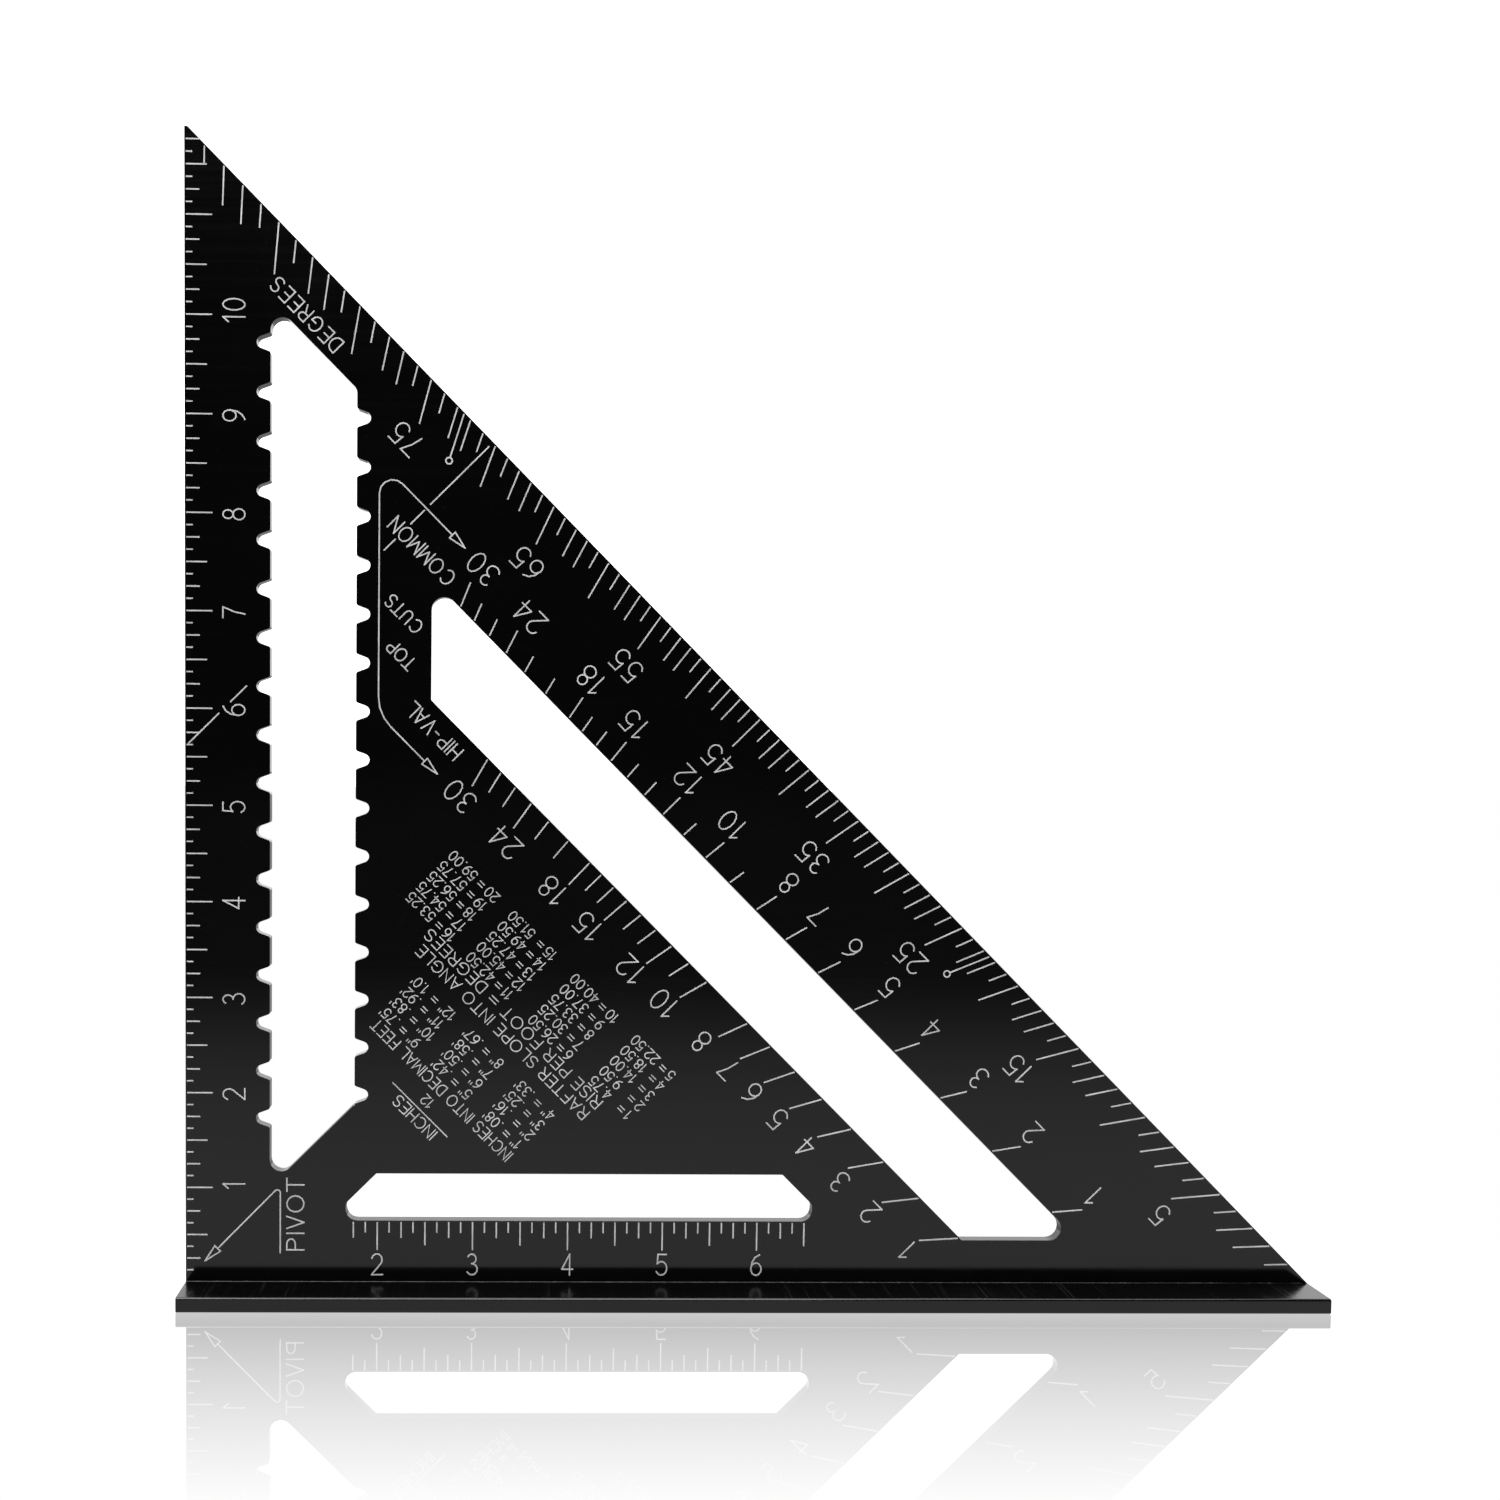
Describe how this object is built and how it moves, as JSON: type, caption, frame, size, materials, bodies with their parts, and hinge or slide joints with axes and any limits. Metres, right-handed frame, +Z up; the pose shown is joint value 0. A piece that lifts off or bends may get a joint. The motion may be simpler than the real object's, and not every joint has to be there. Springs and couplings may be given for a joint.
{
  "type": "speed square",
  "caption": "Black anodised aluminium rafter square: a triangular blade with a slanted edge, cut-out slots and etched scales, on a straight fence.",
  "frame": {"origin": "middle of the fence's underside, on the surface the square stands on", "axes": "+X along the fence from the pivot corner to the slanted edge, +Y from the marked face through the blade to the plain face, +Z up along the graduated edge"},
  "size_m": [0.3026, 0.025, 0.3057],
  "materials": {
    "black_anodised": "glossy black anodised extrusion",
    "etched_mark": "matt bare metal etched through the black finish"
  },
  "bodies": {
    "root": {"blade": "black_anodised", "fence": "black_anodised", "edge_rule_marks": "etched_mark", "edge_rule_numerals": "etched_mark", "slot_rule_marks": "etched_mark", "slot_rule_numerals": "etched_mark", "degree_marks": "etched_mark", "degree_numerals": "etched_mark", "common_rafter_marks": "etched_mark", "common_rafter_numerals": "etched_mark", "hip_valley_marks": "etched_mark", "hip_valley_numerals": "etched_mark", "square_line": "etched_mark", "pivot_arrow": "etched_mark", "top_cuts_arrow": "etched_mark", "degrees_caption": "etched_mark", "pivot_caption": "etched_mark", "common_caption": "etched_mark", "hip_valley_caption": "etched_mark", "top_cuts_caption": "etched_mark"}
  },
  "joints": []
}
